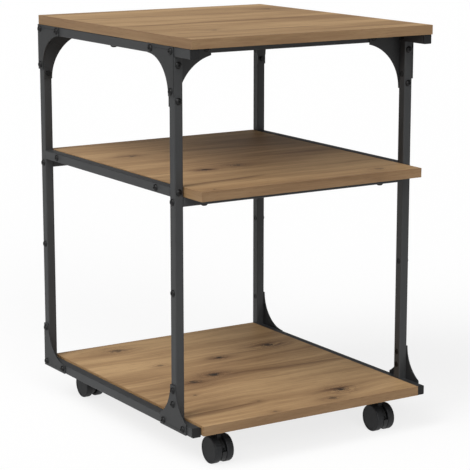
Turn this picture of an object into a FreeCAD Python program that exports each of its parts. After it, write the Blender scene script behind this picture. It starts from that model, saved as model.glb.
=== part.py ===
import FreeCAD, Part
import os
import re
import Sketcher
from FreeCAD import Placement, Rotation, Vector

# Mobile printer stand: three boards in a bolted frame of square steel tube, on four
# swivelling twin-wheel casters. X is the width, -Y the front, Z up; the origin is on the
# floor under the middle of the stand. Millimetres.

doc = FreeCAD.newDocument("printer_stand")

# Driving dimensions. Every other size and place below is a formula of these.
SIZES = {
    "stand_height": (665.0, "floor to the top of the top board"),
    "board_width": (444.0, "top board, left to right"),
    "board_depth": (500.0, "every board, front to back"),
    "board": (15.0, "thickness of every board"),
    "board_gap": (1.7, "gap from an inset board to the rail beside it"),
    "shelf_drop": (227.5, "top of the stand down to the top of the middle shelf"),
    "tube": (15.0, "side of the square tube"),
    "tube_wall": (1.2, "wall of the square tube"),
    "tube_corner": (1.5, "outer corner radius of the square tube"),
    "front_setback": (51.0, "front edge of the top board back to the front posts"),
    "base_forward": (3.0, "bottom board's front edge in front of the top board's"),
    "base_proud": (2.0, "bottom board's top above the bottom rails"),
    "rail_inset": (3.0, "front end caps back from the top board's front edge"),
    "plate": (2.0, "thickness of every gusset plate"),
    "corner_reach": (75.0, "leg of a corner gusset"),
    "tee_height": (71.0, "height of a tee gusset"),
    "tee_half": (39.0, "middle of a tee gusset to its end"),
    "tee_curve": (60.0, "radius of a tee gusset's curves"),
    "tee_bolt_drop": (9.0, "top of a tee gusset down to its upper bolt"),
    "tee_bolt_pitch": (22.0, "between a tee gusset's two post bolts"),
    "tee_end_bolt": (9.5, "end of a tee gusset to its rail bolt"),
    "inner_width": (74.0, "side face of the stand to an inner gusset's tip"),
    "inner_height": (91.0, "underside of the top board to an inner gusset's foot"),
    "inner_curve": (74.5, "radius of an inner gusset's curve"),
    "inner_bolt_low": (9.0, "foot of an inner gusset up to its lower bolt"),
    "inner_bolt_pitch": (54.0, "between an inner gusset's two post bolts"),
    "inner_tip_bolt": (8.0, "tip of an inner gusset back to its rail bolt"),
    "notch_gap": (0.5, "gap from an inner gusset to the side rail it is cut around"),
    "spare_bolt": (274.0, "floor to the lone bolt in each post"),
    "side_screw": (43.0, "post to the screw in a middle side rail"),
    "under_screw": (56.0, "side face of the stand to a screw under the shelf"),
    "hidden_screw": (34.0, "post centre line to the next screw up into the top board"),
    "screw_bite": (11.0, "depth of a screw up into a board"),
    "edge_bite": (18.0, "depth of a screw into a board's edge"),
    "bolt_shank": (5.0, "bolt diameter"),
    "bolt_head": (11.0, "button head diameter"),
    "head_height": (3.0, "button head height"),
    "head_rim": (0.6, "straight side of that head under its dome"),
    "head_flat": (5.4, "flat on top of that head"),
    "head_bulge": (0.35, "dome's rise from its chord, outward and upward alike"),
    "socket_size": (3.2, "width of the hexagon socket"),
    "socket_depth": (1.6, "depth of the hexagon socket"),
    "hole_gap": (0.2, "gap around a bolt in its hole"),
    "nut_flats": (8.0, "nut across its flats"),
    "nut_height": (4.0, "nut height"),
    "barrel": (7.0, "rivet nut's barrel diameter"),
    "barrel_length": (8.0, "rivet nut's barrel inside the tube"),
    "rivet_flange": (9.5, "rivet nut's flange diameter"),
    "rivet_rise": (0.6, "rivet nut's flange height"),
    "insert_length": (20.0, "threaded insert in a rail end"),
    "slip_gap": (0.1, "gap around a plug or insert in a tube"),
    "cap_flange": (2.0, "end cap's visible thickness"),
    "cap_plug": (10.0, "end cap's length inside the tube"),
    "caster_height": (60.5, "floor to the underside of the bottom board"),
    "caster_side": (66.5, "side face of the stand to a caster's wheels' middle"),
    "caster_end": (37.5, "top board's edge to a caster's axle"),
    "wheel_radius": (22.0, "caster wheel radius"),
    "wheel_width": (12.5, "one caster wheel"),
    "wheel_round": (2.0, "corner of the tread"),
    "wheel_wall": (1.6, "outer wall of a caster wheel"),
    "rim_wall": (3.5, "rim of a caster wheel"),
    "hub_radius": (6.5, "hub of a caster wheel"),
    "dish_depth": (0.5, "recess in a wheel's outer face"),
    "dish_rim": (3.2, "rim left around that recess"),
    "web": (8.0, "caster body between the wheels"),
    "web_radius": (17.0, "round part of the caster body"),
    "wheel_gap": (0.5, "gap from a wheel to the caster body"),
    "trail": (12.0, "axle behind the swivel pin"),
    "axle_radius": (3.0, "caster axle"),
    "running_gap": (0.06, "radial gap of a running fit"),
    "mount_plate": (38.0, "side of a caster's mounting plate"),
    "mount_thick": (2.5, "thickness of that plate"),
    "mount_hole": (14.0, "middle of that plate to a screw, both ways"),
    "mount_screw": (3.6, "caster screw diameter"),
    "mount_head": (7.0, "caster screw head diameter"),
    "mount_head_height": (2.2, "caster screw head height"),
    "pin_radius": (4.0, "swivel pin"),
    "boss_radius": (12.0, "collar around the swivel pin"),
    "swivel_gap": (0.5, "gap under the mounting plate"),
    "tread_gap": (1.0, "gap from the collar to the wheels below it"),
    "lever_inset": (0.5, "brake lever's tab inside the tread"),
    "lever_gap": (0.8, "gap from the tab to the round body"),
    "lever_sweep": (50.0, "angle that the tab spans"),
    "lever_ear": (3.0, "brake lever's ear, side to side"),
    "ear_radius": (2.8, "round end of the ear"),
    "ear_slot_gap": (0.3, "gap each side of the ear"),
    "ear_reach": (13.5, "axle to the brake lever's pivot"),
    "ear_overlap": (1.5, "ear's arm into the tab"),
    "ear_swing": (4.2, "room around the ear in the body"),
    "pivot_radius": (1.3, "brake lever's pivot"),
}

sheet = doc.addObject("Spreadsheet::Sheet", "Sizes")
for row, (alias, (size, meaning)) in enumerate(SIZES.items(), start=1):
    sheet.set("A%d" % row, meaning)
    sheet.set("B%d" % row, "%g" % size)
    sheet.setAlias("B%d" % row, alias)
doc.recompute()

# Places worked out from the sizes. Sides: left and right are -X and +X.
PLACES = {
    "half_width": "board_width / 2",
    "half_depth": "board_depth / 2",
    "board_under": "stand_height - board",
    "top_rail_z": "board_under - tube",
    "shelf_top": "stand_height - shelf_drop",
    "shelf_z": "shelf_top - board",
    "cross_z": "shelf_z - tube",
    "base_z": "caster_height",
    "low_rail_z": "base_z + board - base_proud - tube",
    "post_z": "low_rail_z + tube",
    "front_y": "-half_depth + front_setback",
    "rear_y": "half_depth - tube",
    "front_post_y": "front_y + tube / 2",
    "rear_post_y": "rear_y + tube / 2",
    "inset_width": "board_width - 2 * tube - 2 * board_gap",
    "bore": "tube - 2 * tube_wall",
    "rail_front": "half_depth - rail_inset - cap_flange",
    "rail_rear": "half_depth - cap_flange",
    "hole_radius": "bolt_shank / 2 + hole_gap",
    "top_bolt_z": "top_rail_z + tube / 2",
    "low_bolt_z": "low_rail_z + tube / 2",
    "shelf_bolt_z": "shelf_z + tube / 2",
    "cross_bolt_z": "cross_z + tube / 2",
    "corner_bolt": "corner_reach - tube / 2",
    "high_post_bolt": "board_under - corner_bolt",
    "low_post_bolt": "low_rail_z + corner_bolt",
    "tee_high_bolt": "low_rail_z + tee_height - tee_bolt_drop",
    "tee_low_bolt": "tee_high_bolt - tee_bolt_pitch",
    "tee_end": "tee_half - tee_end_bolt",
    "inner_low_bolt": "board_under - inner_height + inner_bolt_low",
    "inner_high_bolt": "inner_low_bolt + inner_bolt_pitch",
    "inner_tip_x": "half_width - inner_width + inner_tip_bolt",
    "axle_z": "wheel_radius",
    "corner_step": "0.29 * wheel_round",
    "collar_z": "2 * wheel_radius + tread_gap",
    "pin_length": "base_z - mount_thick - collar_z - 2 * swivel_gap",
    "swivel_x": "half_width - caster_side",
    "swivel_y": "half_depth - caster_end - trail",
}


def ex(text):
    """A formula in plain names, spelt out with the sheet's cells."""
    def spell(match):
        word = match.group(0)
        if word in PLACES:
            return "(" + ex(PLACES[word]) + ")"
        return "Sizes." + word if word in SIZES else word
    return re.sub(r"[a-z_]+", spell, text)


def number(text):
    """The same formula's value, for shapes that are made with Part's own functions."""
    value = sheet.evalExpression(ex(text))
    return float(getattr(value, "Value", value))


def bind(thing, **formulas):
    for name, text in formulas.items():
        thing.setExpression(name, ex(text))
    return thing


def place(thing, x="0", y="0", z="0"):
    for axis, text in zip("xyz", (x, y, z)):
        thing.setExpression("Placement.Base." + axis, ex(text))
    return thing


def block(label, size, at):
    thing = doc.addObject("Part::Box", label)
    bind(thing, Length=size[0], Width=size[1], Height=size[2])
    return place(thing, *at)


TURNS = {
    "x": Rotation(Vector(0, 1, 0), 90),
    "y": Rotation(Vector(1, 0, 0), -90),
    "z": Rotation(),
}


def rod(label, axis, radius, length, at):
    """A cylinder that starts at a point and runs along +X, +Y or +Z."""
    thing = doc.addObject("Part::Cylinder", label)
    bind(thing, Radius=radius, Height=length)
    thing.Placement = Placement(Vector(), TURNS[axis])
    return place(thing, *at)


def cut(label, base, tools):
    tool = tools[0]
    if len(tools) > 1:
        tool = doc.addObject("Part::MultiFuse", label + "_tools")
        tool.Shapes = tools
    thing = doc.addObject("Part::Cut", label)
    thing.Base = base
    thing.Tool = tool
    return thing


def holes(label, axis, places, through, radius="hole_radius"):
    """Drilled holes; each place is a hole's x, y and z, and its start on its own axis."""
    return [rod("%s_hole_%d" % (label, i), axis, radius, through, at)
            for i, at in enumerate(places, start=1)]


nodes = []


def keep(thing, label):
    thing.Label = label
    nodes.append(thing)
    return thing


SIDES = {"left": "-1", "right": "1"}


def side_x(side, inner="0"):
    """The X of a side face of the stand, or of a plane further in."""
    return "%s * (half_width - (%s))" % (SIDES[side], inner)


def low_x(side, inner, width):
    """The lowest X of something that starts at a depth in from a side face."""
    return "-half_width + (%s)" % inner if side == "left" else "half_width - (%s) - (%s)" % (inner, width)


# --- Square tube: posts and rails -------------------------------------------------------
# Each tube is an outer block with rounded corners, less its bore and its drilled holes.

ALONG = {"x": Vector(1, 0, 0), "y": Vector(0, 1, 0), "z": Vector(0, 0, 1)}


def rounded(label, blank, axis):
    """Rounds a block's four edges along an axis, as on drawn square tube."""
    blank.recompute()
    radius = number("tube_corner")
    thing = doc.addObject("Part::Fillet", label)
    thing.Base = blank
    thing.Edges = [(i, radius, radius) for i, edge in enumerate(blank.Shape.Edges, start=1)
                   if abs(edge.tangentAt(edge.FirstParameter).dot(ALONG[axis])) > 0.9]
    return thing


def tube(label, axis, length, at, drilled, riveted=(), riveted_from="0"):
    """Drilled: an axis and the holes right through along it. Riveted: places along X where a
    larger hole for a rivet nut opens the wall on one side, from riveted_from on."""
    sizes = [length if a == axis else "tube" for a in "xyz"]
    bores = [length + " + 2 * tube" if a == axis else "bore" for a in "xyz"]
    starts = [p + (" - tube" if a == axis else " + tube_wall") for a, p in zip("xyz", at)]
    outer = rounded(label + "_rounded", block(label + "_outer", sizes, at), axis)
    tools = [block(label + "_bore", bores, starts)]
    for across, places in drilled:
        index = "xyz".index(across)
        spots = [spot[:index] + (at[index] + " - tube",) + spot[index + 1:] for spot in places]
        tools += holes("%s_%s" % (label, across), across, spots, "3 * tube")
    spots = [(riveted_from, spot[1], spot[2]) for spot in riveted]
    tools += holes(label + "_rivet", "x", spots, "tube", "barrel / 2")
    return keep(cut(label + "_cut", outer, tools), label)


SCREW_YS = ["0", "front_post_y + hidden_screw", "rear_post_y - hidden_screw"]

for side in SIDES:
    x = low_x(side, "0", "tube")
    middle_x = side_x(side, "tube / 2")
    # Rivet nuts sit in the inward wall, so their holes run inwards from the tube's middle.
    inward = low_x(side, "tube / 2", "tube")
    rail_length = "rail_front + rail_rear"
    # Top side rail: gusset bolts across it, and the screws up into the board.
    corner_ys = ["front_post_y", "front_y + corner_bolt", "rear_post_y", "half_depth - corner_bolt"]
    corner_bolts = [("0", y, "top_bolt_z") for y in corner_ys]
    tube("top_rail_" + side, "y", rail_length, (x, "-rail_front", "top_rail_z"),
         [("x", corner_bolts), ("z", [(middle_x, y, "0") for y in SCREW_YS])], corner_bolts, inward)
    # Middle side rail, between the posts.
    tube("middle_rail_" + side, "y", "rear_y - front_y - tube", (x, "front_y + tube", "shelf_z"),
         [("x", [("0", "front_y + tube + side_screw", "shelf_bolt_z"),
                 ("0", "rear_y - side_screw", "shelf_bolt_z")])])
    # Bottom side rail, which the posts stand on.
    base_ys = ["front_post_y - tee_end", "front_post_y + tee_end", "rear_post_y", "half_depth - corner_bolt"]
    tube("bottom_rail_" + side, "y", rail_length, (x, "-rail_front", "low_rail_z"),
         [("x", [("0", y, "low_bolt_z") for y in base_ys])])
    # Posts, from the bottom rail up to the top rail.
    for end, y, foot_bolts in (("front", "front_y", ["tee_high_bolt", "tee_low_bolt"]),
                               ("rear", "rear_y", ["low_post_bolt"])):
        post_y = end + "_post_y"
        across = ["high_post_bolt", "spare_bolt"] + foot_bolts
        along = ["inner_high_bolt", "inner_low_bolt", "shelf_bolt_z"]
        tube("post_%s_%s" % (end, side), "z", "top_rail_z - post_z", (x, y, "post_z"),
             [("x", [("0", post_y, z) for z in across + ["cross_bolt_z"]]),
              ("y", [(middle_x, "0", z) for z in along])],
             [("0", post_y, z) for z in across], inward)

# Cross rails: the top pair lie against the inner gussets, the middle pair between the posts.
TOP_CROSS_YS = {"front": "front_y + tube + plate", "rear": "rear_y - plate - tube"}
MIDDLE_CROSS_YS = {"front": "front_y", "rear": "rear_y"}
cross_length = "board_width - 2 * tube"
for end in ("front", "rear"):
    tube("top_cross_rail_" + end, "x", cross_length,
         ("-half_width + tube", TOP_CROSS_YS[end], "top_rail_z"),
         [("y", [("-(inner_tip_x)", "0", "top_bolt_z"), ("inner_tip_x", "0", "top_bolt_z")])])
    tube("middle_cross_rail_" + end, "x", cross_length,
         ("-half_width + tube", MIDDLE_CROSS_YS[end], "cross_z"),
         [("z", [("-half_width + under_screw", end + "_post_y", "0"),
                 ("half_width - under_screw", end + "_post_y", "0")])])

# --- Boards -----------------------------------------------------------------------------
# Melamine-faced chipboard with pilot holes for its screws.

pilot = "bolt_shank / 2"
top_board = block("top_board_outer", ("board_width", "board_depth", "board"),
                  ("-half_width", "-half_depth", "board_under"))
pilots = [rod("top_pilot_%s_%d" % (side, i), "z", pilot, "screw_bite + tube",
              (side_x(side, "tube / 2"), y, "board_under - tube"))
          for side in SIDES for i, y in enumerate(SCREW_YS)]
keep(cut("top_board_cut", top_board, pilots), "top_board")

shelf = block("middle_shelf_outer", ("inset_width", "board_depth", "board"),
              ("-inset_width / 2", "-half_depth", "shelf_z"))
pilots = [rod("shelf_pilot_%s_%s" % (side, end), "z", pilot, "screw_bite + tube",
              (side_x(side, "under_screw"), end + "_post_y", "shelf_z - tube"))
          for side in SIDES for end in ("front", "rear")]
edge_depth = "edge_bite + tube"
for side in SIDES:
    start = low_x(side, "board_gap", edge_depth)
    for i, y in enumerate(("front_y + tube + side_screw", "rear_y - side_screw")):
        pilots.append(rod("shelf_edge_%s_%d" % (side, i), "x", pilot, edge_depth, (start, y, "shelf_bolt_z")))
keep(cut("middle_shelf_cut", shelf, pilots), "middle_shelf")

base = block("bottom_board_outer", ("inset_width", "board_depth", "board"),
             ("-inset_width / 2", "-half_depth - base_forward", "base_z"))
pilots = []
for side in SIDES:
    start = low_x(side, "board_gap", edge_depth)
    for i, y in enumerate(base_ys):
        pilots.append(rod("base_edge_%s_%d" % (side, i), "x", pilot, edge_depth, (start, y, "low_bolt_z")))
CASTERS = [(end, side) for end in ("front", "rear") for side in SIDES]
END_SIGNS = {"front": "-1", "rear": "1"}


def swivel_at(end, side):
    return "%s * swivel_x" % SIDES[side], "%s * swivel_y" % END_SIGNS[end]


for end, side in CASTERS:
    x, y = swivel_at(end, side)
    for i, (a, b) in enumerate(((-1, -1), (-1, 1), (1, -1), (1, 1))):
        at = ("%s + %d * mount_hole" % (x, a), "%s + %d * mount_hole" % (y, b), "base_z - tube")
        pilots.append(rod("caster_pilot_%s_%s_%d" % (end, side, i), "z", "mount_screw / 2",
                          "screw_bite + tube", at))
keep(cut("bottom_board_cut", base, pilots), "bottom_board")

# --- Gusset plates ----------------------------------------------------------------------
# Laser-cut steel. Corner and tee gussets lie on the outer faces of the side frames, and the
# inner gussets on the posts' inward faces, cut around the side rails.

curve = "corner_reach - tube"
for side in SIDES:
    x = low_x(side, "-plate", "plate")
    x_start = x + " - plate"
    corners = {
        "top_front": ("front_y", 1, "board_under", -1),
        "top_rear": ("half_depth", -1, "board_under", -1),
        "bottom_rear": ("half_depth", -1, "low_rail_z", 1),
    }
    for corner, (y, y_sign, z, z_sign) in corners.items():
        label = "gusset_%s_%s" % (corner, side)
        low_y = y if y_sign > 0 else y + " - corner_reach"
        low_z = z if z_sign > 0 else z + " - corner_reach"
        sheet_metal = block(label + "_outer", ("plate", "corner_reach", "corner_reach"), (x, low_y, low_z))
        far_y = "%s + %d * corner_reach" % (y, y_sign)
        far_z = "%s + %d * corner_reach" % (z, z_sign)
        tools = [rod(label + "_curve", "x", curve, "3 * plate", (x_start, far_y, far_z))]
        spots = [(x_start, "%s + %d * %s" % (y, y_sign, across), "%s + %d * %s" % (z, z_sign, up))
                 for across, up in (("tube / 2", "tube / 2"), ("corner_bolt", "tube / 2"),
                                    ("tube / 2", "corner_bolt"))]
        tools += holes(label, "x", spots, "3 * plate")
        keep(cut(label + "_cut", sheet_metal, tools), label)

    label = "gusset_tee_" + side
    sheet_metal = block(label + "_outer", ("plate", "2 * tee_half", "tee_height"),
                        (x, "front_post_y - tee_half", "low_rail_z"))
    tools = [rod("%s_curve_%d" % (label, i), "x", "tee_curve", "3 * plate",
                 (x_start, "front_post_y + %d * (tube / 2 + tee_curve)" % sign, "low_rail_z + tee_height"))
             for i, sign in enumerate((-1, 1))]
    spots = [(x_start, y, z) for y, z in (("front_post_y", "tee_high_bolt"), ("front_post_y", "tee_low_bolt"),
                                          ("front_post_y - tee_end", "low_bolt_z"),
                                          ("front_post_y + tee_end", "low_bolt_z"))]
    tools += holes(label, "x", spots, "3 * plate")
    keep(cut(label + "_cut", sheet_metal, tools), label)

    for end, y in (("front", "front_y + tube"), ("rear", "rear_y - plate")):
        label = "gusset_inner_%s_%s" % (end, side)
        y_start = y + " - plate"
        sign = SIDES[side]
        sheet_metal = block(label + "_outer", ("inner_width", "plate", "inner_height"),
                            (low_x(side, "0", "inner_width"), y, "board_under - inner_height"))
        notch = block(label + "_notch", ("2 * tube", "3 * plate", "2 * tube"),
                      (low_x(side, "notch_gap - tube", "2 * tube"), y_start, "top_rail_z - notch_gap"))
        arc = rod(label + "_curve", "y", "inner_curve", "3 * plate",
                  (side_x(side, "tube + inner_curve"), y_start, "board_under - inner_height"))
        middle_x = side_x(side, "tube / 2")
        spots = [(middle_x, y_start, "inner_high_bolt"), (middle_x, y_start, "inner_low_bolt"),
                 ("%s * inner_tip_x" % sign, y_start, "top_bolt_z")]
        keep(cut(label + "_cut", sheet_metal, [notch, arc] + holes(label, "y", spots, "3 * plate")), label)

# --- End caps ---------------------------------------------------------------------------
# Moulded plugs in the open ends of the side rails, a front and a rear one on each rail.

for rail, z in (("top", "top_rail_z"), ("bottom", "low_rail_z")):
    for side in SIDES:
        x = low_x(side, "0", "tube")
        plug_x = x + " + tube_wall + slip_gap"
        plug_z = z + " + tube_wall + slip_gap"
        plug = "bore - 2 * slip_gap"
        pair = []
        for end, flange_y, plug_y in (("front", "-rail_front - cap_flange", "-rail_front"),
                                      ("rear", "rail_rear", "rail_rear - cap_plug")):
            label = "%s_cap_%s_%s" % (rail, side, end)
            flange = block(label + "_flange", ("tube", "cap_flange", "tube"), (x, flange_y, z))
            body = block(label + "_plug", (plug, "cap_plug", plug), (plug_x, plug_y, plug_z))
            cap = doc.addObject("Part::Fuse", label + "_whole")
            cap.Base = rounded(label + "_head", flange, "y")
            cap.Tool = body
            if end == "rear":
                # The rear corner bolt and its rivet nut pass through the plug.
                bolt_hole = rod(label + "_bolt_hole", "x", "barrel / 2 + slip_gap", "3 * tube",
                                (x + " - tube", "rear_post_y", z + " + tube / 2"))
                cap = cut(label, cap, [bolt_hole])
            pair.append(cap)
        both = doc.addObject("Part::Compound", "%s_caps_%s_pair" % (rail, side))
        both.Links = pair
        keep(both, "%s_rail_caps_%s" % (rail, side))

# --- Fasteners --------------------------------------------------------------------------
# Button-head bolts, the nuts behind the inner gussets, the rivet nuts in the posts' and top
# rails' inward walls, the screws into the boards, and the threaded inserts in the middle
# rails' ends. The nuts of both kinds are one node, and so is each other kind, as a group of
# separate solids.

def turned(path):
    """A solid turned about Z. A stop on the path is its radius and height; two stops together
    are an arc, through the first and on to the second."""
    edges = []
    here = Vector(path[0][0], 0, path[0][1])
    for stop in path[1:] + path[:1]:
        if isinstance(stop[0], tuple):
            (through_r, through_z), (r, z) = stop
            there = Vector(r, 0, z)
            curve = Part.Arc(here, Vector(through_r, 0, through_z), there)
        else:
            there = Vector(stop[0], 0, stop[1])
            curve = Part.LineSegment(here, there)
        edges.append(curve.toShape())
        here = there
    return Part.Face(Part.Wire(edges)).revolve(Vector(), Vector(0, 0, 1), 360)


def button_bolt(length):
    """Its head sits on the plane z = 0 and its shank runs down from there."""
    head = number("bolt_head / 2")
    height = number("head_height")
    rim = number("head_rim")
    flat = number("head_flat / 2")
    shank = number("bolt_shank / 2")
    # The dome is an arc from the rim to the flat, through a point out from its chord's middle.
    crown = ((head + flat) / 2 + number("head_bulge"), (rim + height) / 2 + number("head_bulge"))
    profile = [(0, -length), (shank, -length), (shank, 0), (head, 0), (head, rim), (crown, (flat, height)),
               (0, height)]
    socket = Part.Face(Part.makePolygon(hexagon(number("socket_size"), height))).extrude(
        Vector(0, 0, -number("socket_depth")))
    return turned(profile).cut(socket)


def hexagon(flats, z):
    radius = flats / 3 ** 0.5
    corner = Vector(radius, 0, z)
    turn = Rotation(Vector(0, 0, 1), 60)
    points = [corner]
    for _ in range(6):
        points.append(turn.multVec(points[-1]))
    points[-1] = points[0]
    return points


AIMS = {
    "+x": Rotation(Vector(0, 0, 1), Vector(1, 0, 0)),
    "-x": Rotation(Vector(0, 0, 1), Vector(-1, 0, 0)),
    "+y": Rotation(Vector(0, 0, 1), Vector(0, 1, 0)),
    "-y": Rotation(Vector(0, 0, 1), Vector(0, -1, 0)),
    "-z": Rotation(Vector(1, 0, 0), 180),
}


def put(shape, aim, at):
    moved = shape.copy()
    moved.Placement = Placement(Vector(*(number(text) for text in at)), AIMS[aim])
    return moved


def group(label, solids):
    thing = doc.addObject("Part::Feature", label + "_set")
    thing.Shape = Part.makeCompound(solids)
    return keep(thing, label)


nut_span = number("nut_flats")
nut_rise = number("nut_height")
nut_blank = Part.Face(Part.makePolygon(hexagon(nut_span, 0))).extrude(Vector(0, 0, nut_rise))
nut = nut_blank.cut(Part.makeCylinder(number("bolt_shank / 2"), 3 * nut_rise, Vector(0, 0, -nut_rise)))

# A rivet nut's flange lies on the plane z = 0, and its barrel runs down into the tube.
flange_radius = number("rivet_flange / 2")
flange_rise = number("rivet_rise")
barrel_radius = number("barrel / 2")
barrel_long = number("barrel_length")
thread_radius = number("bolt_shank / 2")
rivet_nut = turned([(thread_radius, -barrel_long), (barrel_radius, -barrel_long), (barrel_radius, 0),
                    (flange_radius, 0), (flange_radius, 0.5 * flange_rise),
                    (flange_radius - 0.5 * flange_rise, flange_rise), (thread_radius, flange_rise)])

plain_bolt = button_bolt(number("tube"))
riveted_bolt = button_bolt(number("plate + tube"))
plated_bolt = button_bolt(number("plate + tube + nut_height"))
insert_bolt = button_bolt(number("tube + insert_length / 2"))
rail_screw = button_bolt(number("tube + screw_bite"))
edge_screw = button_bolt(number("tube + board_gap + edge_bite"))
plated_edge_screw = button_bolt(number("plate + tube + board_gap + edge_bite"))
insert_side = number("bore - 2 * slip_gap")
insert_long = number("insert_length")
insert_corner = Vector(-insert_side / 2, -insert_side / 2, 0)
insert_block = Part.makeBox(insert_side, insert_side, insert_long, insert_corner)
insert = insert_block.cut(Part.makeCylinder(number("bolt_shank / 2"), insert_long))

bolts = []
nuts = []
screws = []
inserts = []
for side, out, back in (("left", "-x", "+x"), ("right", "+x", "-x")):
    face = side_x(side, "-plate")
    flush = side_x(side)
    inside = side_x(side, "tube")
    middle_x = side_x(side, "tube / 2")
    plated = [(y, "top_bolt_z") for y in corner_ys]
    plated += [("front_post_y", "high_post_bolt"), ("rear_post_y", "high_post_bolt"),
               ("front_post_y", "tee_high_bolt"), ("front_post_y", "tee_low_bolt"),
               ("rear_post_y", "low_post_bolt")]
    for y, z in plated:
        bolts.append(put(riveted_bolt, out, (face, y, z)))
        nuts.append(put(rivet_nut, back, (inside, y, z)))
    for end in ("front", "rear"):
        y = end + "_post_y"
        bolts.append(put(plain_bolt, out, (flush, y, "spare_bolt")))
        nuts.append(put(rivet_nut, back, (inside, y, "spare_bolt")))
        bolts.append(put(insert_bolt, out, (flush, y, "cross_bolt_z")))
        inserts.append(put(insert, back, (inside, y, "cross_bolt_z")))
    for y in ("front_y + tube + side_screw", "rear_y - side_screw"):
        screws.append(put(edge_screw, out, (flush, y, "shelf_bolt_z")))
    for y in base_ys:
        screws.append(put(plated_edge_screw, out, (face, y, "low_bolt_z")))
    for y in SCREW_YS:
        screws.append(put(rail_screw, "-z", (middle_x, y, "top_rail_z")))
    for end, outward, inward, post_face, gusset_face in (
            ("front", "-y", "+y", "front_y", "front_y + tube + plate"),
            ("rear", "+y", "-y", "half_depth", "rear_y - plate")):
        for z in ("inner_high_bolt", "inner_low_bolt"):
            bolts.append(put(plated_bolt, outward, (middle_x, post_face, z)))
            nuts.append(put(nut, inward, (middle_x, gusset_face, z)))
        tip_x = "%s * inner_tip_x" % SIDES[side]
        head_face = "front_y + tube" if end == "front" else "rear_y"
        nut_face = TOP_CROSS_YS["front"] + " + tube" if end == "front" else TOP_CROSS_YS["rear"]
        bolts.append(put(plated_bolt, outward, (tip_x, head_face, "top_bolt_z")))
        nuts.append(put(nut, inward, (tip_x, nut_face, "top_bolt_z")))
        bolts.append(put(insert_bolt, outward, (middle_x, post_face, "shelf_bolt_z")))
        insert_y = "front_y + tube" if end == "front" else "rear_y"
        inserts.append(put(insert, inward, (middle_x, insert_y, "shelf_bolt_z")))
        screws.append(put(rail_screw, "-z", (side_x(side, "under_screw"), end + "_post_y", "cross_z")))
group("frame_bolts", bolts)
group("frame_nuts", nuts)
group("board_screws", screws)
group("rail_inserts", inserts)

# --- Caster parts -----------------------------------------------------------------------
# Each caster: a steel plate with its riveted swivel pin, a moulded body that turns on the
# pin, a steel axle through the body, and two wheels; the front two have a brake lever.
# The rear casters are the front ones turned half round, so the axles point to the ends.

def plane(body, role):
    return [f for f in body.Origin.OriginFeatures if f.Role == role][0]


def outline(body, role, points, name):
    """A closed sketch whose corners are pinned to formulas."""
    sketch = body.newObject("Sketcher::SketchObject", name)
    sketch.AttachmentSupport = [(plane(body, role), "")]
    sketch.MapMode = "FlatFace"
    spots = [Vector(number(u), number(v), 0) for u, v in points]
    for here, there in zip(spots, spots[1:] + spots[:1]):
        sketch.addGeometry(Part.LineSegment(here, there), False)
    count = len(spots)
    for i in range(count):
        sketch.addConstraint(Sketcher.Constraint("Coincident", i, 2, (i + 1) % count, 1))
    for i, (u, v) in enumerate(points):
        for kind, text, value in (("DistanceX", u, spots[i].x), ("DistanceY", v, spots[i].y)):
            if abs(value) < 1e-9:
                axis = -2 if kind == "DistanceX" else -1
                sketch.addConstraint(Sketcher.Constraint("PointOnObject", i, 1, axis))
                continue
            index = sketch.addConstraint(Sketcher.Constraint(kind, i, 1, value))
            sketch.setExpression("Constraints[%d]" % index, ex(text))
    return sketch


# A wheel is turned about X. Heights here are along the axle from the caster's middle.
wheel_in = "web / 2 + wheel_gap"
wheel_out = wheel_in + " + wheel_width"
bore_radius = "axle_radius + running_gap"
wheel_profile = [
    (wheel_in, bore_radius),
    (wheel_out + " - wheel_wall", bore_radius),
    (wheel_out + " - wheel_wall", "0"),
    (wheel_out + " - dish_depth", "0"),
    (wheel_out + " - dish_depth", "wheel_radius - dish_rim - dish_depth"),
    (wheel_out, "wheel_radius - dish_rim"),
    (wheel_out, "wheel_radius - wheel_round"),
    (wheel_out + " - corner_step", "wheel_radius - corner_step"),
    (wheel_out + " - wheel_round", "wheel_radius"),
    (wheel_in + " + wheel_round", "wheel_radius"),
    (wheel_in + " + corner_step", "wheel_radius - corner_step"),
    (wheel_in, "wheel_radius - wheel_round"),
    (wheel_in, "wheel_radius - rim_wall"),
    (wheel_out + " - dish_depth - wheel_wall", "wheel_radius - rim_wall"),
    (wheel_out + " - dish_depth - wheel_wall", "hub_radius"),
    (wheel_in, "hub_radius"),
]


def wheel(label, axle_x, axle_y, turn):
    body = doc.addObject("PartDesign::Body", label + "_body")
    sketch = outline(body, "XY_Plane", wheel_profile, label + "_profile")
    spin = body.newObject("PartDesign::Revolution", label + "_turned")
    spin.Profile = sketch
    spin.ReferenceAxis = (sketch, ["H_Axis"])
    spin.Angle = 360
    body.Tip = spin
    body.Placement = Placement(Vector(), Rotation(Vector(0, 0, 1), turn))
    place(body, axle_x, axle_y, "axle_z")
    return keep(body, label)


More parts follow.
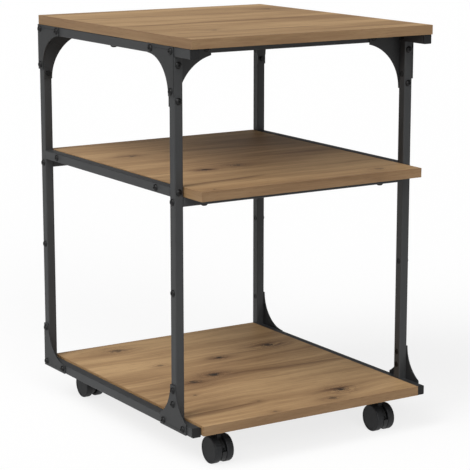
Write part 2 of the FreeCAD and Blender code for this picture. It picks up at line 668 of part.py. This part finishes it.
for end, side in CASTERS:
    name = "%s_%s" % (end, side)
    sign = END_SIGNS[end]
    x, y = swivel_at(end, side)
    axle_y = "%s + %s * trail" % (y, sign)

    # Mounting plate and swivel pin.
    label = "caster_plate_" + name
    flat = block(label + "_flat", ("mount_plate", "mount_plate", "mount_thick"),
                 (x + " - mount_plate / 2", y + " - mount_plate / 2", "base_z - mount_thick"))
    pin = rod(label + "_pin", "z", "pin_radius", "pin_length", (x, y, "base_z - mount_thick - pin_length"))
    riveted = doc.addObject("Part::Fuse", label + "_riveted")
    riveted.Base = flat
    riveted.Tool = pin
    spots = [("%s + %d * mount_hole" % (x, a), "%s + %d * mount_hole" % (y, b), "base_z - 2 * mount_thick")
             for a in (-1, 1) for b in (-1, 1)]
    screw_holes = holes(label, "z", spots, "3 * mount_thick", "mount_screw / 2 + hole_gap")
    keep(cut(label + "_cut", riveted, screw_holes), label)

    # Body: a collar on the pin, and a web between the wheels that carries the axle.
    label = "caster_body_" + name
    collar = rod(label + "_collar", "z", "boss_radius", "base_z - mount_thick - swivel_gap - collar_z",
                 (x, y, "collar_z"))
    web_x = x + " - web / 2"
    round_web = rod(label + "_round", "x", "web_radius", "web", (web_x, axle_y, "axle_z"))
    neck_back = "web / 2" if end == "front" else "web_radius"
    neck = block(label + "_neck", ("web", "web / 2 + web_radius", "collar_z + tread_gap - axle_z"),
                 (web_x, "%s - %s" % (axle_y, neck_back), "axle_z"))
    moulded = doc.addObject("Part::MultiFuse", label + "_moulded")
    moulded.Shapes = [collar, round_web, neck]
    tools = [rod(label + "_pin_bore", "z", "pin_radius + running_gap",
                 "pin_length + mount_thick + swivel_gap",
                 (x, y, "base_z - mount_thick - pin_length - swivel_gap")),
             rod(label + "_axle_bore", "x", "axle_radius", "3 * web", (x + " - 1.5 * web", axle_y, "axle_z"))]
    pivot_y = axle_y + " - ear_reach"
    if end == "front":
        slot_size = ("lever_ear + 2 * ear_slot_gap", "3 * ear_swing", "2 * ear_swing")
        slot_at = (x + " - lever_ear / 2 - ear_slot_gap", pivot_y + " - 2 * ear_swing", "axle_z - ear_swing")
        tools.append(block(label + "_ear_slot", slot_size, slot_at))
    moulding = cut(label + "_cut", moulded, tools)
    if end == "front":
        whole = doc.addObject("Part::Fuse", label + "_whole")
        whole.Base = moulding
        whole.Tool = rod(label + "_pivot", "x", "pivot_radius", "web", (web_x, pivot_y, "axle_z"))
        moulding = whole
    keep(moulding, label)

    # Axle.
    half_axle = "web / 2 + wheel_width - wheel_wall"
    keep(rod("caster_axle_%s_rod" % name, "x", "axle_radius", "2 * (%s)" % half_axle,
             ("%s - (%s)" % (x, half_axle), axle_y, "axle_z")), "caster_axle_" + name)

    # Wheels: the same wheel, turned half round for the left one.
    wheel("caster_wheel_%s_l" % name, x, axle_y, 180)
    wheel("caster_wheel_%s_r" % name, x, axle_y, 0)

    # Brake lever: a curved tab between the treads, with an ear on the body's pivot.
    if end == "front":
        label = "brake_lever_" + side
        sector = rod(label + "_sector", "x", "wheel_radius - lever_inset", "web", (web_x, axle_y, "axle_z"))
        sector.setExpression("Angle", ex("lever_sweep"))
        sector.Placement = Placement(sector.Placement.Base, TURNS["x"] * Rotation(Vector(0, 0, 1), -90))
        place(sector, web_x, axle_y, "axle_z")
        hollow = rod(label + "_hollow", "x", "web_radius + lever_gap", "3 * web",
                     (x + " - 1.5 * web", axle_y, "axle_z"))
        tab = cut(label + "_tab", sector, [hollow])
        ear_x = x + " - lever_ear / 2"
        ear = rod(label + "_ear", "x", "ear_radius", "lever_ear", (ear_x, pivot_y, "axle_z"))
        arm_length = "web_radius + lever_gap + ear_overlap - ear_reach"
        arm = block(label + "_arm", ("lever_ear", arm_length, "ear_radius"),
                    (ear_x, axle_y + " - web_radius - lever_gap - ear_overlap", "axle_z - ear_radius"))
        lever = doc.addObject("Part::MultiFuse", label + "_whole")
        lever.Shapes = [tab, ear, arm]
        keep(cut(label + "_cut", lever, [rod(label + "_bore", "x", "pivot_radius + running_gap", "3 * web",
                                             (x + " - 1.5 * web", pivot_y, "axle_z"))]), label)

# Caster screws, one node.
pan_head = number("mount_head / 2")
pan_rise = number("mount_head_height")
pan_shank = number("mount_screw / 2")
pan_length = number("mount_thick + screw_bite")
pan_screw = turned([(0, -pan_length), (pan_shank, -pan_length), (pan_shank, 0), (pan_head, 0),
                    (pan_head, 0.5 * pan_rise), (0.7 * pan_head, pan_rise), (0, pan_rise)])
caster_screws = []
for end, side in CASTERS:
    x, y = swivel_at(end, side)
    for a in (-1, 1):
        for b in (-1, 1):
            at = ("%s + %d * mount_hole" % (x, a), "%s + %d * mount_hole" % (y, b), "base_z - mount_thick")
            caster_screws.append(put(pan_screw, "-z", at))
group("caster_screws", caster_screws)

# --- Checks and files -------------------------------------------------------------------

doc.recompute()
for thing in doc.Objects:
    if "Invalid" in thing.State or "Error" in thing.State:
        raise RuntimeError("%s failed: %s" % (thing.Label, thing.State))
for thing in nodes:
    if thing.Shape.isNull() or not thing.Shape.isValid():
        raise RuntimeError("%s has no sound shape" % thing.Label)

os.makedirs("parts", exist_ok=True)
for thing in nodes:
    thing.Shape.exportStep("parts/%s.step" % thing.Label)
print("%d nodes" % len(nodes))
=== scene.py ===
import math

import bpy
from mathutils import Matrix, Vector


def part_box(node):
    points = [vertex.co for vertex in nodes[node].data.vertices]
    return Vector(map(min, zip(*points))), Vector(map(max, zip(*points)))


# The stand's looks: each section below is one kind of piece, in the order it is put together.
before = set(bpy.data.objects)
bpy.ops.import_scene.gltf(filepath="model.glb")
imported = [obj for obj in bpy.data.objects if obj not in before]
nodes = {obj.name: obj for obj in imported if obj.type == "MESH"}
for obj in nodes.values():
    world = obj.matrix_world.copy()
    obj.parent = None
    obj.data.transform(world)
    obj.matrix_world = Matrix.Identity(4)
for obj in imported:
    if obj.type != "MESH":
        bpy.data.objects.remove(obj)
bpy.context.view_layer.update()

# --- Posts, rails and gusset plates -----------------------------------------------------
# Square steel tube and laser-cut plate, powder coated after cutting and drilling, so the coat
# wraps every edge. It gives a matt, neutral near-black with a soft orange peel, a little paler
# on rubbed edges. The plates get a darker copy of the same coat: painted shade for the shade
# they sit in under the boards and around the joints.

mm = 0.001
sides = ("left", "right")
ends = ("front", "rear")
posts = ["post_%s_%s" % (end, side) for end in ends for side in sides]
side_rails = ["%s_rail_%s" % (level, side) for level in ("top", "middle", "bottom") for side in sides]
cross_rails = ["%s_cross_rail_%s" % (level, end) for level in ("top", "middle") for end in ends]
outer_plates = ["gusset_%s_%s" % (place, side) for place in ("top_front", "top_rear", "bottom_rear", "tee")
                for side in sides]
inner_plates = ["gusset_inner_%s_%s" % (end, side) for end in ends for side in sides]


def linear(code, factor=1.0):
    """An sRGB hex colour in the linear values that shaders take, darker or lighter by a factor."""
    shares = [int(code[i:i + 2], 16) / 255 for i in (1, 3, 5)]
    return [factor * (c / 12.92 if c <= 0.04045 else ((c + 0.055) / 1.055) ** 2.4) for c in shares] + [1.0]


def add(tree, kind, sockets=None, out=0, stops=(), **settings):
    """Adds a node with its settings, constants, links and colour stops, and gives one output."""
    node = tree.nodes.new("ShaderNode" + kind)
    for name, value in settings.items():
        setattr(node, name, value)
    for name, value in (sockets or {}).items():
        if isinstance(value, bpy.types.NodeSocket):
            tree.links.new(value, node.inputs[name])
        else:
            node.inputs[name].default_value = value
    if stops:
        ramp = node.color_ramp.elements
        while len(ramp) < len(stops):
            ramp.new(0.5)
        for stop, (place, colour) in zip(ramp, stops):
            stop.position = place
            stop.color = colour
    return node.outputs[out]


def new_material(name):
    """A material with its node tree, its surface shader's sockets and the piece's own coordinates."""
    material = bpy.data.materials.new(name)
    material.use_nodes = True
    tree = material.node_tree
    own = add(tree, "TexCoord", out="Object")
    return material, tree, tree.nodes["Principled BSDF"].inputs, own


def rubbed_edges(tree, radius):
    """How near the surface is to an arris: 0 on the flats, 1 on the edge itself."""
    rounded = add(tree, "Bevel", {"Radius": radius}, samples=4)
    true_face = add(tree, "NewGeometry", out="Normal")
    along = add(tree, "VectorMath", {0: rounded, 1: true_face}, out="Value", operation="DOT_PRODUCT")
    return add(tree, "MapRange", {0: along, 1: 0.99, 2: 0.8})


def powder_coat(name, colour, worn):
    """Epoxy-polyester powder, sprayed and baked: matt, softly pebbled, thinner on the edges."""
    material, tree, surface, own = new_material(name)
    # Baked powder has a grain near 0.2 mm, drawn 0.7 mm here so that it shows at arm's length.
    grain = add(tree, "TexNoise", {"Vector": own, "Scale": 1 / (0.7 * mm), "Detail": 3.0})
    # Orange peel, 4 mm from crest to crest.
    peel = add(tree, "TexNoise", {"Vector": own, "Scale": 1 / (4 * mm), "Detail": 1.0})
    # Film thickness wanders over 60 mm or so and shifts the grey a little.
    film = add(tree, "TexNoise", {"Vector": own, "Scale": 1 / (60 * mm), "Detail": 4.0, "Roughness": 0.6})
    tone = add(tree, "ValToRGB", {0: film}, stops=[(0.3, linear(colour, 0.9)), (0.7, linear(colour, 1.12))])
    speck = add(tree, "MapRange", {0: grain, 3: 0.9, 4: 1.1})
    speckled = add(tree, "VectorMath", {0: tone, 1: speck}, operation="MULTIPLY")
    rubbed = add(tree, "Math", {0: rubbed_edges(tree, 0.8 * mm), 1: film}, operation="MULTIPLY")
    coat = add(tree, "Mix", {"Factor": rubbed, "A": speckled, "B": linear(worn)}, out="Result",
               data_type="RGBA")
    matt = add(tree, "MapRange", {0: grain, 3: 0.48, 4: 0.62})
    fine = add(tree, "Bump", {"Height": grain, "Distance": 0.05 * mm, "Strength": 0.5})
    broad = add(tree, "Bump", {"Height": peel, "Distance": 0.06 * mm, "Strength": 0.35, "Normal": fine})
    tree.links.new(coat, surface["Base Color"])
    tree.links.new(matt, surface["Roughness"])
    tree.links.new(broad, surface["Normal"])
    surface["IOR"].default_value = 1.5
    return material


def finish_with(material, *names):
    """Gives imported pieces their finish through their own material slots."""
    for name in names:
        for slot in nodes[name].material_slots:
            slot.material = material


def ease(radius, *names):
    """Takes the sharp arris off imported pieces, as deburring and coating do."""
    for name in names:
        joined = nodes[name].modifiers.new("joined", "WELD")
        joined.merge_threshold = 0.005 * mm
        arris = nodes[name].modifiers.new("arris", "BEVEL")
        arris.width = radius
        arris.segments = 2
        arris.limit_method = "ANGLE"
        arris.angle_limit = math.radians(40)
        flats = nodes[name].modifiers.new("flats", "WEIGHTED_NORMAL")
        flats.keep_sharp = False


coated_tube = powder_coat("powder_coated_tube", "#303132", "#565758")
# The plates' darker coat is painted shade, not a different powder: the real plates wear the tube's coat.
painted_shade_plate_coat = powder_coat("powder_coated_plate_painted_shade", "#202122", "#3c3d3e")
finish_with(coated_tube, *posts, *side_rails, *cross_rails)
finish_with(painted_shade_plate_coat, *outer_plates, *inner_plates)
ease(0.3 * mm, *outer_plates, *inner_plates)

# --- Boards -----------------------------------------------------------------------------
# Chipboard faced with oak-print melamine and edged with a 1 mm band. The print is a wild oak:
# warm light-brown grain across the width, dark lines of late wood, and dark knots that the
# grain flows around. The face is satin, with pores pressed into it.

pale_oak = "#c29f73"
mid_oak = "#a3815a"
deep_oak = "#7d5d3c"
knot_core = "#1d140c"
knot_halo = "#5c3c22"
band_thickness = 1.0 * mm
# How far the band is mixed towards deep oak: partly its own darker tone, partly painted shade on the upright
# sides.
band_tone_and_shade = 0.5


def grain_steps(tree, place, along, across):
    """Grain coordinates: one step is this many millimetres along and across the grain."""
    steps = (1 / (along * mm), 1 / (across * mm), 1 / (across * mm))
    return add(tree, "VectorMath", {0: place, 1: steps}, operation="MULTIPLY")


def knot(tree, own, ragged, knot_x, knot_y, length, depth):
    """A knot's torn dark eye, the growth rings around it, and the pull it has on the grain."""
    away = add(tree, "VectorMath", {0: own, 1: (knot_x * mm, knot_y * mm, 0)}, operation="SUBTRACT")
    # The grain parts around a space three times as long as the knot and half as wide as that.
    reach = (1 / (1.5 * length * mm), 1 / (0.75 * length * mm), 0)
    near = add(tree, "VectorMath", {0: away, 1: reach}, operation="MULTIPLY")
    distance = add(tree, "VectorMath", {0: near, 1: near}, out="Value", operation="DOT_PRODUCT")
    fall = add(tree, "Math", {0: distance, 1: -1.0}, operation="MULTIPLY")
    pull = add(tree, "Math", {0: fall}, operation="EXPONENT")
    # The eye is a little longer along the grain, and its outline is torn.
    eye_size = (2 / (length * mm), 2 / (0.8 * length * mm), 0)
    eye = add(tree, "VectorMath", {0: away, 1: eye_size}, operation="MULTIPLY")
    tear = (3.0, 2.4, 0)
    torn = add(tree, "VectorMath", {0: ragged, 1: tear, 2: eye}, operation="MULTIPLY_ADD")
    centred = add(tree, "VectorMath", {0: torn, 1: [t / 2 for t in tear]}, operation="SUBTRACT")
    from_eye = add(tree, "VectorMath", {0: centred}, out="Value", operation="LENGTH")
    core = add(tree, "MapRange", {0: from_eye, 1: 0.8, 2: 0.4, 3: 0.0, 4: depth},
               interpolation_type="SMOOTHSTEP")
    # Growth rings swirl around the eye and fade away from it.
    turns = add(tree, "Math", {0: from_eye, 1: 8.0}, operation="MULTIPLY")
    swirl = add(tree, "Math", {0: turns}, operation="SINE")
    dark_turns = add(tree, "MapRange", {0: swirl, 1: 0.3, 2: 0.9})
    spread = add(tree, "MapRange", {0: from_eye, 1: 3.4, 2: 0.7, 3: 0.0, 4: 0.8 * depth},
                 interpolation_type="SMOOTHSTEP")
    rings = add(tree, "Math", {0: dark_turns, 1: spread}, operation="MULTIPLY")
    return core, rings, pull


def late_wood(tree, x, grain_y, band, x1, y1, x2, y2, width, depth):
    """A line of dense late wood: crisp towards the back, fading out towards the front."""
    run = add(tree, "Math", {0: x, 1: x1 * mm}, operation="SUBTRACT")
    path = add(tree, "Math", {0: run, 1: (y2 - y1) / (x2 - x1), 2: y1 * mm}, operation="MULTIPLY_ADD")
    beside = add(tree, "Math", {0: grain_y, 1: path}, operation="SUBTRACT")
    off = add(tree, "Math", {0: beside, 1: width * mm}, operation="DIVIDE")
    crisp = add(tree, "MapRange", {0: off, 1: 0.2, 2: 0.0}, interpolation_type="SMOOTHSTEP")
    fading = add(tree, "MapRange", {0: off, 1: -1.0, 2: 0.0}, interpolation_type="SMOOTHSTEP")
    # Both ends taper over 60 mm.
    start = add(tree, "MapRange", {0: x, 1: (x1 - 25) * mm, 2: (x1 + 35) * mm},
                interpolation_type="SMOOTHSTEP")
    stop = add(tree, "MapRange", {0: x, 1: (x2 + 25) * mm, 2: (x2 - 35) * mm},
               interpolation_type="SMOOTHSTEP")
    broken = add(tree, "MapRange", {0: band, 1: 0.25, 2: 0.6, 3: 0.35 * depth, 4: depth})
    line = crisp
    for share in (fading, start, stop, broken):
        line = add(tree, "Math", {0: line, 1: share}, operation="MULTIPLY")
    return line


def oak_melamine(board, knots, lines):
    """One board's print. Knots are x, y, length and darkness; lines are x1, y1, x2, y2, width,
    darkness. All are millimetres from the middle of the stand."""
    material, tree, surface, own = new_material("oak_melamine_" + board)
    x, y, z = add(tree, "SeparateXYZ", {0: own}).node.outputs
    across, _, up = add(tree, "SeparateXYZ", {0: add(tree, "NewGeometry", out="Normal")}).node.outputs

    # The grain wanders by a few millimetres over a hand's breadth, and parts around each knot.
    wander = add(tree, "TexNoise", {"Vector": grain_steps(tree, own, 160, 70), "Scale": 1.0, "Detail": 2.0})
    drift = add(tree, "Math", {0: wander, 1: 0.5}, operation="SUBTRACT")
    grain_y = add(tree, "Math", {0: drift, 1: 26 * mm, 2: y}, operation="MULTIPLY_ADD")
    ragged = add(tree, "TexNoise", {"Vector": own, "Scale": 1 / (5 * mm), "Detail": 5.0, "Roughness": 0.65},
                 out="Color")
    dark = halo = gathering = 0.0
    for knot_x, knot_y, length, depth in knots:
        core, rings, pull = knot(tree, own, ragged, knot_x, knot_y, length, depth)
        beside = add(tree, "Math", {0: y, 1: knot_y * mm}, operation="SUBTRACT")
        squeeze = add(tree, "Math", {0: pull, 1: -0.8}, operation="MULTIPLY")
        grain_y = add(tree, "Math", {0: beside, 1: squeeze, 2: grain_y}, operation="MULTIPLY_ADD")
        around = add(tree, "Math", {0: pull, 1: depth}, operation="MULTIPLY")
        dark = add(tree, "Math", {0: core, 1: dark}, operation="MAXIMUM")
        halo = add(tree, "Math", {0: rings, 1: halo}, operation="MAXIMUM")
        gathering = add(tree, "Math", {0: around, 1: gathering}, operation="MAXIMUM")

    # On the left and right edges the band's own grain runs along the edge.
    flowing = add(tree, "CombineXYZ", {0: x, 1: grain_y, 2: z})
    along_edge = add(tree, "CombineXYZ", {0: y, 1: z, 2: 0.0})
    sideways = add(tree, "Math", {0: across}, operation="ABSOLUTE")
    on_side = add(tree, "Math", {0: sideways, 1: 0.7}, operation="GREATER_THAN")
    course = add(tree, "Mix", {"Factor": on_side, "A": flowing, "B": along_edge}, out="Result",
                 data_type="VECTOR")

    # Cloudy heartwood, bands of early and late wood, and thin streaks make up the figure.
    cloud = add(tree, "TexNoise", {"Vector": grain_steps(tree, course, 420, 60), "Scale": 1.0,
                                   "Detail": 2.0})
    band = add(tree, "TexNoise", {"Vector": grain_steps(tree, course, 260, 13), "Scale": 1.0,
                                  "Detail": 3.0, "Roughness": 0.6})
    streak = add(tree, "TexNoise", {"Vector": grain_steps(tree, course, 120, 3.5), "Scale": 1.0,
                                    "Detail": 3.0, "Roughness": 0.6})
    figure = 0.0
    for pattern, weight in ((cloud, 0.46), (band, 0.30), (streak, 0.24)):
        figure = add(tree, "Math", {0: pattern, 1: weight, 2: figure}, operation="MULTIPLY_ADD")
    wood = add(tree, "ValToRGB", {0: figure},
               stops=[(0.32, linear(deep_oak)), (0.46, linear(mid_oak)), (0.6, linear(pale_oak))])

    # Dark grain gathers where it parts around a knot, and the late wood lines join it.
    dark_streak = add(tree, "MapRange", {0: streak, 1: 0.44, 2: 0.56, 3: 0.0, 4: 1.1})
    gathered = add(tree, "Math", {0: gathering, 1: dark_streak}, operation="MULTIPLY")
    stain = add(tree, "Math", {0: halo, 1: gathered}, operation="MAXIMUM")
    for line in lines:
        stain = add(tree, "Math", {0: stain, 1: late_wood(tree, x, grain_y, band, *line)},
                    operation="MAXIMUM")

    # Knots and lines are printed on the two faces, and the edges have only the plain figure.
    upright = add(tree, "Math", {0: up}, operation="ABSOLUTE")
    on_face = add(tree, "Math", {0: upright, 1: 0.7}, operation="GREATER_THAN")
    face_stain = add(tree, "Math", {0: stain, 1: on_face}, operation="MULTIPLY")
    face_dark = add(tree, "Math", {0: dark, 1: on_face}, operation="MULTIPLY")
    stained = add(tree, "Mix", {"Factor": face_stain, "A": wood, "B": linear(knot_halo)}, out="Result",
                  data_type="RGBA")
    cored = add(tree, "Mix", {"Factor": face_dark, "A": stained, "B": linear(knot_core)}, out="Result",
                data_type="RGBA")
    # Real pores are hair-fine; these are 1.2 mm wide so that they show.
    pore = add(tree, "TexNoise", {"Vector": grain_steps(tree, course, 22, 1.2), "Scale": 1.0,
                                  "Detail": 2.0})
    pitted = add(tree, "MapRange", {0: pore, 1: 0.3, 2: 0.45, 3: 0.80, 4: 1.0})
    pored = add(tree, "VectorMath", {0: cored, 1: pitted}, operation="MULTIPLY")

    # The band is mixed towards deep oak on all four sides: partly the band's own darker tone, partly painted
    # shade for its upright sides. Its cut side frames the printed face.
    low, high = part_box(board)
    middle = ((low.x + high.x) / 2, (low.y + high.y) / 2, 0)
    from_middle = add(tree, "VectorMath", {0: own, 1: middle}, operation="SUBTRACT")
    to_edge = add(tree, "VectorMath", {0: from_middle}, operation="ABSOLUTE")
    edge_x, edge_y, _ = add(tree, "SeparateXYZ", {0: to_edge}).node.outputs
    past_x = add(tree, "Math", {0: edge_x, 1: (high.x - low.x) / 2 - band_thickness},
                 operation="GREATER_THAN")
    past_y = add(tree, "Math", {0: edge_y, 1: (high.y - low.y) / 2 - band_thickness},
                 operation="GREATER_THAN")
    past = add(tree, "Math", {0: past_x, 1: past_y}, operation="MAXIMUM")
    darker_band_and_shade = add(tree, "Math", {0: past, 1: band_tone_and_shade}, operation="MULTIPLY")
    edged = add(tree, "Mix", {"Factor": darker_band_and_shade, "A": pored, "B": linear(deep_oak)}, out="Result",
                data_type="RGBA")
    satin = add(tree, "MapRange", {0: pore, 3: 0.62, 4: 0.50})
    pressed = add(tree, "Bump", {"Height": pitted, "Distance": 0.08 * mm, "Strength": 0.4})
    tree.links.new(edged, surface["Base Color"])
    tree.links.new(satin, surface["Roughness"])
    tree.links.new(pressed, surface["Normal"])
    surface["IOR"].default_value = 1.5
    finish_with(material, board)


oak_melamine("top_board",
             [(-116, -141, 26, 0.45), (172, 151, 24, 0.6)],
             [(-215, -165, 60, -160, 16, 0.6), (-200, -20, 215, -5, 20, 0.55),
              (-226, 132, 222, 106, 18, 0.55)])
oak_melamine("middle_shelf",
             [(-97, -80, 22, 1.0), (-30, -69, 30, 0.75), (-128, 101, 24, 0.7), (144, -220, 22, 0.5),
              (-175, -237, 12, 0.6)],
             [(-205, -188, -40, -168, 16, 0.8), (-205, -76, 40, -70, 12, 0.3), (-60, 112, 200, 80, 30, 0.5)])
oak_melamine("bottom_board",
             [(-41, -15, 30, 1.0), (-91, -36, 30, 0.75), (22, 71, 18, 1.0), (140, 96, 34, 0.85),
              (88, -199, 30, 1.0), (50, -232, 24, 0.6), (-106, 204, 34, 0.55), (-129, -101, 10, 0.6),
              (-68, -243, 10, 0.6), (-61, -183, 9, 0.5), (-88, 81, 16, 0.5)],
             [(-205, -192, -60, -186, 22, 0.8), (-40, -22, 200, -44, 16, 0.7), (40, 84, 190, 92, 12, 0.6),
              (-200, -75, -60, -60, 12, 0.5)])
ease(0.5 * mm, "top_board", "middle_shelf", "bottom_board")

# --- End caps and rail inserts ----------------------------------------------------------
# Black polyethylene plugs in the open ends of the side rails, and the moulded inserts in the
# middle rails' ends that take the bolts through the posts. They are slightly waxy, with the
# fine etched skin that a spark-eroded mould leaves.

caps = ["%s_rail_caps_%s" % (level, side) for level in ("top", "bottom") for side in sides]


def moulded(name, colour, rough, grain_size):
    """Injection-moulded plastic. Its etched skin scatters light, so its gloss is weak."""
    material, tree, surface, own = new_material(name)
    # The etched grain is near 0.1 mm, and grain_size draws it coarser so that it shows.
    etch = add(tree, "TexNoise", {"Vector": own, "Scale": 1 / grain_size, "Detail": 2.0})
    # Flow marks of the melt, 18 mm or so across.
    flow = add(tree, "TexNoise", {"Vector": own, "Scale": 1 / (18 * mm), "Detail": 3.0})
    tone = add(tree, "ValToRGB", {0: flow}, stops=[(0.3, linear(colour, 0.85)), (0.7, linear(colour, 1.2))])
    paler = add(tree, "Math", {0: rubbed_edges(tree, 0.6 * mm), 1: 0.2}, operation="MULTIPLY")
    skin = add(tree, "Mix", {"Factor": paler, "A": tone, "B": linear(colour, 3.0)}, out="Result",
               data_type="RGBA")
    satin = add(tree, "MapRange", {0: etch, 3: rough - 0.06, 4: rough + 0.08})
    pebbled = add(tree, "Bump", {"Height": etch, "Distance": 0.04 * mm, "Strength": 0.5})
    tree.links.new(skin, surface["Base Color"])
    tree.links.new(satin, surface["Roughness"])
    tree.links.new(pebbled, surface["Normal"])
    surface["IOR"].default_value = 1.5
    surface["Specular IOR Level"].default_value = 0.36
    return material


moulded_polyethylene = moulded("moulded_polyethylene", "#09090a", 0.6, 0.6 * mm)
finish_with(moulded_polyethylene, *caps, "rail_inserts")
ease(0.5 * mm, *caps)

# --- Bolts, nuts and screws -------------------------------------------------------------
# Button-head steel bolts and screws, hex nuts and rivet nuts, blackened in a hot bath and
# oiled: near black, smoother than the coat around them, so each head takes a small highlight.


def black_oxide(name):
    """Blackened steel: a thin dark oxide that mottles over 3 mm, worn pale on its edges."""
    material, tree, surface, own = new_material(name)
    bloom = add(tree, "TexNoise", {"Vector": own, "Scale": 1 / (3 * mm), "Detail": 3.0})
    tone = add(tree, "ValToRGB", {0: bloom}, stops=[(0.3, linear("#030303")), (0.7, linear("#080809"))])
    bright = add(tree, "Math", {0: rubbed_edges(tree, 0.4 * mm), 1: 0.15}, operation="MULTIPLY")
    steel = add(tree, "Mix", {"Factor": bright, "A": tone, "B": linear("#3c3d40")}, out="Result",
                data_type="RGBA")
    oily = add(tree, "MapRange", {0: bloom, 3: 0.40, 4: 0.55})
    turned_skin = add(tree, "Bump", {"Height": bloom, "Distance": 0.02 * mm, "Strength": 0.4})
    tree.links.new(steel, surface["Base Color"])
    tree.links.new(oily, surface["Roughness"])
    tree.links.new(turned_skin, surface["Normal"])
    surface["Specular IOR Level"].default_value = 0.3
    return material


finish_with(black_oxide("black_oxide_steel"), "frame_bolts", "frame_nuts", "board_screws")

# --- Caster plates, axles and their screws ----------------------------------------------
# Pressed and turned mild steel, zinc plated: pale grey metal with the faint spangle and the
# streaks of the plating bath, duller than chrome.

casters = ["%s_%s" % (end, side) for end in ends for side in sides]
plates = ["caster_plate_" + caster for caster in casters]
axles = ["caster_axle_" + caster for caster in casters]


def zinc_plate(name):
    """Bright zinc over steel, with a spangle of 2.5 mm and clouds of 9 mm from the bath."""
    material, tree, surface, own = new_material(name)
    spangle = add(tree, "TexVoronoi", {"Vector": own, "Scale": 1 / (2.5 * mm)}, out="Distance")
    bath = add(tree, "TexNoise", {"Vector": own, "Scale": 1 / (9 * mm), "Detail": 4.0})
    tone = add(tree, "ValToRGB", {0: bath}, stops=[(0.3, linear("#9a9da0")), (0.7, linear("#c4c7c9"))])
    dull = add(tree, "MapRange", {0: spangle, 3: 0.28, 4: 0.42})
    ripple = add(tree, "Bump", {"Height": bath, "Distance": 0.03 * mm, "Strength": 0.3})
    tree.links.new(tone, surface["Base Color"])
    tree.links.new(dull, surface["Roughness"])
    tree.links.new(ripple, surface["Normal"])
    surface["Metallic"].default_value = 1.0
    return material


finish_with(zinc_plate("zinc_plated_steel"), "caster_screws", *plates, *axles)

# --- Caster bodies, wheels and brake levers ---------------------------------------------
# Injection-moulded nylon, black all through. Bodies and levers are satin; the wheels' outer
# faces are a shallow dish inside a raised lip, and the floor scuffs them duller.

bodies = ["caster_body_" + caster for caster in casters]
levers = ["brake_lever_" + side for side in sides]
wheels = ["caster_wheel_%s_%s" % (caster, hand) for caster in casters for hand in "lr"]
finish_with(moulded("moulded_nylon", "#141516", 0.5, 0.7 * mm), *bodies, *levers)
finish_with(moulded("wheel_nylon", "#17181a", 0.6, 0.9 * mm), *wheels)
ease(0.4 * mm, *bodies, *levers)
ease(0.5 * mm, *wheels)

# --- Floor ------------------------------------------------------------------------------
# A plain white product table of acrylic, lit from below so that shadows stay faint. It runs
# far out of sight on every side.

floor_reach = 40.0
corners = [(-floor_reach, -floor_reach, 0), (floor_reach, -floor_reach, 0),
           (floor_reach, floor_reach, 0), (-floor_reach, floor_reach, 0)]
floor_mesh = bpy.data.meshes.new("floor")
floor_mesh.from_pydata(corners, [], [(0, 1, 2, 3)])
floor = bpy.data.objects.new("floor", floor_mesh)
bpy.context.collection.objects.link(floor)
acrylic = bpy.data.materials.new("lit_acrylic")
acrylic.use_nodes = True
acrylic_surface = acrylic.node_tree.nodes["Principled BSDF"].inputs
acrylic_surface["Base Color"].default_value = linear("#7c7c7c")
acrylic_surface["Roughness"].default_value = 0.9
acrylic_surface["Emission Color"].default_value = linear("#ffffff")
acrylic_surface["Emission Strength"].default_value = 0.78
floor.data.materials.append(acrylic)
floor.visible_diffuse = False

# --- Studio light -----------------------------------------------------------------------
# Round soft boxes around the stand: a high one at its left, a lower and weaker one in front,
# and a faint one behind that draws the far edges.

high_left = {"turn": 12, "rise": 47, "focus": 22.0, "strength": 10.6}
low_front = {"turn": 74, "rise": 31, "focus": 22.0, "strength": 7.3}
faint_rear = {"turn": -110, "rise": 12, "focus": 6.0, "strength": 0.35}

studio = bpy.data.worlds.new("studio")
studio.use_nodes = True
bpy.context.scene.world = studio
sky = studio.node_tree
towards = add(sky, "TexCoord", out="Generated")


def soft_box(turn, rise, focus, strength):
    """A round glow in the sky. Turn is in degrees from the stand's left round to its front, rise
    is above the floor, and a higher focus makes the glow smaller."""
    turn = math.radians(turn)
    rise = math.radians(rise)
    middle = (-math.cos(rise) * math.cos(turn), -math.cos(rise) * math.sin(turn), math.sin(rise))
    facing = add(sky, "VectorMath", {0: towards, 1: middle}, out="Value", operation="DOT_PRODUCT")
    front_half = add(sky, "Math", {0: facing, 1: 0.0}, operation="MAXIMUM")
    glow = add(sky, "Math", {0: front_half, 1: focus}, operation="POWER")
    return add(sky, "Math", {0: glow, 1: strength}, operation="MULTIPLY")


glows = 0.0
for box in (high_left, low_front, faint_rear):
    glows = add(sky, "Math", {0: soft_box(**box), 1: glows}, operation="ADD")
backdrop = sky.nodes["Background"].inputs
backdrop["Color"].default_value = linear("#ffffff")
sky.links.new(glows, backdrop["Strength"])

# --- Camera -----------------------------------------------------------------------------
# A long lens 3 m away at the stand's left front, a little above its top board, and aimed
# slightly down, so that the stand fills the frame.

camera = bpy.data.cameras.new("camera")
camera.sensor_width = 36.0
camera.lens = 140.235
camera.clip_end = 200.0
tripod = bpy.data.objects.new("camera", camera)
tripod.location = (-1.58759, -2.5345, 0.92306)
tripod.rotation_euler = (math.radians(90 - 11.637), 0, math.radians(-32.23))
bpy.context.collection.objects.link(tripod)
bpy.context.scene.camera = tripod
bpy.context.scene.view_settings.view_transform = "Standard"
